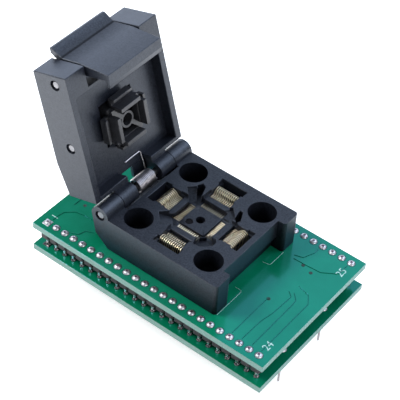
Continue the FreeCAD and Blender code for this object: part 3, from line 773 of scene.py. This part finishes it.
coil = {"near": -2.7, "far": 2.9, "radius": 1.85, "wire": 0.38, "turns": 13.0, "legBehind": 2.1,
        "legY": 3.5, "legReach": 5.2, "hookEnd": -1.6, "ceiling": 2.57, "legWire": 0.30, "legBend": 0.55,
        "tail": 2.64, "tailY": 2.6, "tailWire": 0.36, "tailBend": 0.1}
coilMiddle = coil["radius"] - coil["wire"] / 2
mesh = bakeTree(coilTree, "hingeCoil", pathMesh([]), {
    "Turns": coil["turns"], "Coil Radius": coilMiddle * mm, "Wire Radius": coil["wire"] / 2 * mm,
    "Length": (coil["far"] - coil["near"] - coil["wire"]) * mm, "Material": springWire})
mesh.transform(Matrix.Translation(Vector((hinge.x, (coil["near"] + coil["wire"] / 2) * mm, hinge.z)))
               @ Matrix.Rotation(math.radians(-90.0), 4, "X"))
hingeCoil = addPiece("hingeCoil", mesh, None, ("hinge_spring",))
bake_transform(hingeCoil)

leg = [(0.0, coil["near"] + coil["wire"], coilMiddle), (0.0, coil["near"] + coil["wire"], coil["legBehind"]),
       (0.0, coil["legY"], coil["legBehind"]), (coil["legReach"], coil["legY"], coil["ceiling"]),
       (coil["legReach"], coil["hookEnd"], coil["ceiling"])]
mesh = bakeTree(wireTree, "hingeLeg", pathMesh([[lidPoint(*point) for point in leg]]),
                {"Wire Radius": coil["legWire"] / 2 * mm, "Bend Radius": coil["legBend"] * mm,
                 "Material": springWire})
addPiece("hingeLeg", mesh, "lid_assembly")
tail = [(hinge.x, coil["tailY"] * mm, hinge.z - drop * mm) for drop in (coilMiddle, coil["tail"])]
mesh = bakeTree(wireTree, "hingeTail", pathMesh([tail]),
                {"Wire Radius": coil["tailWire"] / 2 * mm, "Bend Radius": coil["tailBend"] * mm,
                 "Material": springWire})
addPiece("hingeTail", mesh, "base")

# the lid's heel reaches down behind one half of the coil
tongue = {"u": (-0.3, 3.0), "y": (0.5, 7.0), "n": (2.86, 3.86), "edge": 0.12}
shape = bmesh.new()
corners = [shape.verts.new(lidPoint(u, y, n)) for u in tongue["u"] for y in tongue["y"] for n in tongue["n"]]
bmesh.ops.convex_hull(shape, input=corners)
bmesh.ops.dissolve_limit(shape, angle_limit=math.radians(1.0), verts=shape.verts, edges=shape.edges)
bmesh.ops.bevel(shape, geom=shape.edges[:], offset=tongue["edge"] * mm, segments=2, affect="EDGES")
bmesh.ops.recalc_face_normals(shape, faces=shape.faces)
mesh = meshFrom(shape, "heelTongue")
mesh.materials.append(socketPlastic)
smoothShading(mesh)
addPiece("heelTongue", mesh, "lid_assembly")

backCoil = {"start": 29.4, "end": 33.0, "n": 6.2, "radius": 1.2, "wire": 0.3, "turns": 5.5}
mesh = bakeTree(coilTree, "latchCoil", pathMesh([]), {
    "Turns": backCoil["turns"], "Coil Radius": (backCoil["radius"] - backCoil["wire"] / 2) * mm,
    "Wire Radius": backCoil["wire"] / 2 * mm, "Material": springWire,
    "Length": (backCoil["end"] - backCoil["start"] - backCoil["wire"]) * mm})
start = lidPoint(backCoil["start"], 0, backCoil["n"])
end = lidPoint(backCoil["end"], 0, backCoil["n"])
along = (end - start).normalized()
mesh.transform(Matrix.Translation(start + along * backCoil["wire"] / 2 * mm)
               @ along.to_track_quat("Z", "Y").to_matrix().to_4x4())
latchCoil = addPiece("latchCoil", mesh, None, ("latch_spring",))
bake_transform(latchCoil)
print("springs made")


# Printed lines and numbers

printed = {"inkWidth": 0.16, "inkHeight": 0.03, "traceWidth": 0.30, "traceHeight": 0.025, "bend": 0.5,
           "easing": 0.6}
inkPaths = [[(14.1, 4.7), (15.9, 5.0), (15.9, 10.0)], [(14.1, -5.2), (15.9, -5.2), (15.9, -14.1)]]
tracePaths = [
    [(21.33, -15.9), (21.3, -3.7), (21.56, -3.1)],
    [(23.87, -15.9), (23.98, -9.5), (24.6, -6.0), (24.9, 0.4), (23.6, 1.4)],
    [(26.51, -15.9), (26.4, -1.2), (26.26, 0.2), (24.73, 1.75)],
    [(28.94, -15.9), (28.9, 1.0), (27.44, 3.2), (24.4, 3.96)],
    [(18.2, 10.95), (20.2, 11.6), (21.3, 14.4), (21.3, 16.0)],
    [(18.7, 10.0), (22.0, 10.1), (25.6, 10.4), (28.9, 12.6), (28.9, 16.0)],
    [(-28.84, -15.9), (-28.84, -13.97), (-28.56, -12.4), (-26.7, -10.6), (-24.5, -10.2), (-20.0, -9.9)],
    [(-23.4, -16.3), (-21.6, -15.5), (-21.1, -13.7), (-19.3, -12.9)],
    [(-28.5, -9.1), (-28.3, -3.0), (-28.3, 8.0), (-26.2, 12.0), (-26.2, 16.0)],
    [(-23.6, 16.0), (-23.6, 12.0), (-21.0, 9.4), (-18.6, 9.4)],
    [(-21.2, 16.0), (-21.2, 13.4), (-19.6, 11.8), (-18.2, 11.8)]]
viaSpots = [(21.5, -3.2), (24.06, 8.92), (21.48, 9.71), (-26.5, -7.7)]


def printedLines(name, paths, width, height, material):
    # strips half sunk in the board, so that only their upper halves show
    onDeck = [[(x * mm, y * mm, deck) for x, y in path] for path in paths]
    mesh = bakeTree(stripTree, name, pathMesh(onDeck), {
        "Width": 2 * height * mm, "Thickness": width * mm, "Bend Radius": printed["bend"] * mm,
        "Edge Radius": height * printed["easing"] * mm, "Count": 1, "Material": material})
    addPiece(name, mesh, "base")


printedLines("inkLines", inkPaths, printed["inkWidth"], printed["inkHeight"], whiteInk)
printedLines("boardTraces", tracePaths, printed["traceWidth"], printed["traceHeight"], darkTrace)

viaProfile = [(0.0, 0.0), (0.42, 0.0), (0.42, 0.03), (0.36, 0.05), (0.22, 0.04), (0.16, 0.012), (0.0, 0.010)]
vias = bmesh.new()
for x, y in viaSpots:
    ring = turnedMesh(viaProfile, sides=24)
    ring.transform(Matrix.Translation(Vector((x * mm, y * mm, deck))))
    vias.from_mesh(ring)
mesh = meshFrom(vias, "boardVias")
mesh.materials.append(viaMetal)
smoothShading(mesh)
addPiece("boardVias", mesh, "base")

numbers = {"size": 2.45, "thickness": 0.012, "places": {"24": (29.95, -15.1), "25": (29.85, 12.2),
                                                       "1": (-28.4, -15.35), "48": (-28.4, 12.6)}}
marks = bmesh.new()
for word, (x, y) in numbers["places"].items():
    text = bpy.data.curves.new("number" + word, "FONT")
    text.body = word
    text.size = numbers["size"] * mm
    text.extrude = numbers["thickness"] * mm
    holder = bpy.data.objects.new("number" + word, text)
    bpy.context.scene.collection.objects.link(holder)
    graph = bpy.context.evaluated_depsgraph_get()
    mesh = bpy.data.meshes.new_from_object(holder.evaluated_get(graph))
    bpy.data.objects.remove(holder)
    mesh.transform(Matrix.Translation(Vector((x * mm, y * mm, deck + numbers["thickness"] * mm)))
                   @ Matrix.Rotation(math.radians(90.0), 4, "Z"))
    marks.from_mesh(mesh)
mesh = meshFrom(marks, "inkNumbers")
mesh.materials.clear()
mesh.materials.append(whiteInk)
addPiece("inkNumbers", mesh, "base")
print("print on the board made")


# Floor, light and camera

stage = {"floorHalf": 3.0, "floorDrop": 0.0002, "floorTone": (0.74, 0.74, 0.74, 1.0), "lift": 0.74,
         "glossLift": 2.25, "nearShadeGloss": 0.06, "near": 0.036, "far": 0.073, "worldStrength": 0.34,
         "backdrop": 1.0, "skyTint": (0.80, 0.90, 1.0, 1.0), "white": (1.0, 1.0, 1.0, 1.0)}


def makeFloorMaterial():
    # pale floor that reads as white to the camera, and still takes the shadow
    material, tree, shader, place = startMaterial("paleFloor", {"Roughness": 0.9, "Specular IOR Level": 0.1,
                                                               "Base Color": stage["floorTone"]})
    light = addNode(tree, "ShaderNodeLightPath", (-800, 300))
    seen = mathStep(tree, "MAXIMUM", light.outputs["Is Camera Ray"], light.outputs["Is Transmission Ray"])
    glow = addNode(tree, "ShaderNodeEmission", (-300, 400))
    # in reflections the floor glows brighter than the camera sees it, and painted shade dims that glow
    # towards the part that stands on it
    reach = addNode(tree, "ShaderNodeVectorMath", (-1100, -200))
    reach.operation = "LENGTH"
    tree.links.new(place, reach.inputs[0])
    gloss = stage["glossLift"]
    fall = addNode(tree, "ShaderNodeMapRange", (-900, -200), {
        "From Min": stage["near"], "From Max": stage["far"], "To Min": stage["nearShadeGloss"] * gloss,
        "To Max": gloss})
    tree.links.new(reach.outputs["Value"], fall.inputs["Value"])
    mirrored = mathStep(tree, "MULTIPLY", light.outputs["Is Glossy Ray"], fall.outputs["Result"])
    strength = mathStep(tree, "ADD", mathStep(tree, "MULTIPLY", seen, stage["lift"]), mirrored)
    tree.links.new(strength, glow.inputs["Strength"])
    both = tree.nodes.new("ShaderNodeAddShader")
    joinNodes(tree, (shader.outputs[0], both.inputs[0]), (glow.outputs[0], both.inputs[1]),
              (both.outputs[0], tree.nodes["Material Output"].inputs["Surface"]))
    return material


floorMesh = bpy.data.meshes.new("floor")
half = stage["floorHalf"]
corners = [(-half, -half, 0), (half, -half, 0), (half, half, 0), (-half, half, 0)]
floorMesh.from_pydata(corners, [], [(0, 1, 2, 3)])
floorMesh.materials.append(makeFloorMaterial())
floor = bpy.data.objects.new("floor", floorMesh)
floor.location.z = -stage["floorDrop"]
bpy.context.scene.collection.objects.link(floor)

world = bpy.data.worlds.new("studio")
bpy.context.scene.world = world
world.use_nodes = True
sky = world.node_tree
background = sky.nodes["Background"]
rays = addNode(sky, "ShaderNodeLightPath", (-800, 0))
seen = mathStep(sky, "MAXIMUM", rays.outputs["Is Camera Ray"], rays.outputs["Is Transmission Ray"])
level = addNode(sky, "ShaderNodeMapRange", (-400, 0), {"To Min": stage["worldStrength"],
                                                      "To Max": stage["backdrop"]})
colour = mixColour(sky, seen, stage["skyTint"], stage["white"])
joinNodes(sky, (seen, level.inputs["Value"]), (level.outputs["Result"], background.inputs["Strength"]),
          (colour, background.inputs["Color"]))

lamps = {"key": {"place": (-0.19, -0.13, 0.27), "size": 0.12, "power": 1.15, "colour": (1.0, 1.0, 1.0)},
         "leftBack": {"place": (-0.44, 0.34, 0.20), "size": 0.30, "power": 0.9, "colour": (0.70, 0.80, 1.0)},
         "sheen": {"place": (0.02, 0.44, 0.50), "size": 0.70, "power": 1.9, "colour": (0.66, 0.78, 1.0)},
         "backRight": {"place": (0.25, 0.36, 0.46), "size": 0.40, "power": 1.9, "colour": (0.70, 0.80, 1.0)},
         "right": {"place": (0.36, -0.08, 0.20), "size": 0.20, "power": 0.55, "colour": (1.0, 1.0, 1.0)}}
target = Vector((0.0, 0.0, deck))
for name, lamp in lamps.items():
    light = bpy.data.lights.new(name, "AREA")
    light.energy = lamp["power"]
    light.size = lamp["size"]
    light.color = lamp["colour"]
    holder = bpy.data.objects.new(name, light)
    holder.location = lamp["place"]
    holder.rotation_euler = (target - holder.location).to_track_quat("-Z", "Y").to_euler()
    bpy.context.scene.collection.objects.link(holder)

view = {"azimuth": 34.9275, "elevation": 44.3940, "roll": 4.4221, "distance": 330.178, "right": 0.2934,
        "up": 9.4743, "lens": 134.566, "sensor": 36.0, "clip": 0.01}
azimuth, elevation, roll = (math.radians(view[name]) for name in ("azimuth", "elevation", "roll"))
back = Vector((math.sin(azimuth) * math.cos(elevation), -math.cos(azimuth) * math.cos(elevation),
               math.sin(elevation)))
right = (-back).cross(Vector((0, 0, 1))).normalized()
upward = right.cross(-back)
cameraRight = right * math.cos(roll) + upward * math.sin(roll)
cameraUp = upward * math.cos(roll) - right * math.sin(roll)
lens = bpy.data.cameras.new("photoView")
lens.lens = view["lens"]
lens.sensor_width = view["sensor"]
lens.clip_start = view["clip"]
camera = bpy.data.objects.new("photoView", lens)
spot = target + (back * view["distance"] + cameraRight * view["right"] + cameraUp * view["up"]) * mm
turn = Matrix((cameraRight, cameraUp, back)).transposed().to_4x4()
camera.matrix_world = Matrix.Translation(spot) @ turn
bpy.context.scene.collection.objects.link(camera)
bpy.context.scene.camera = camera
bpy.context.scene.view_settings.view_transform = "Standard"

print("stage set")
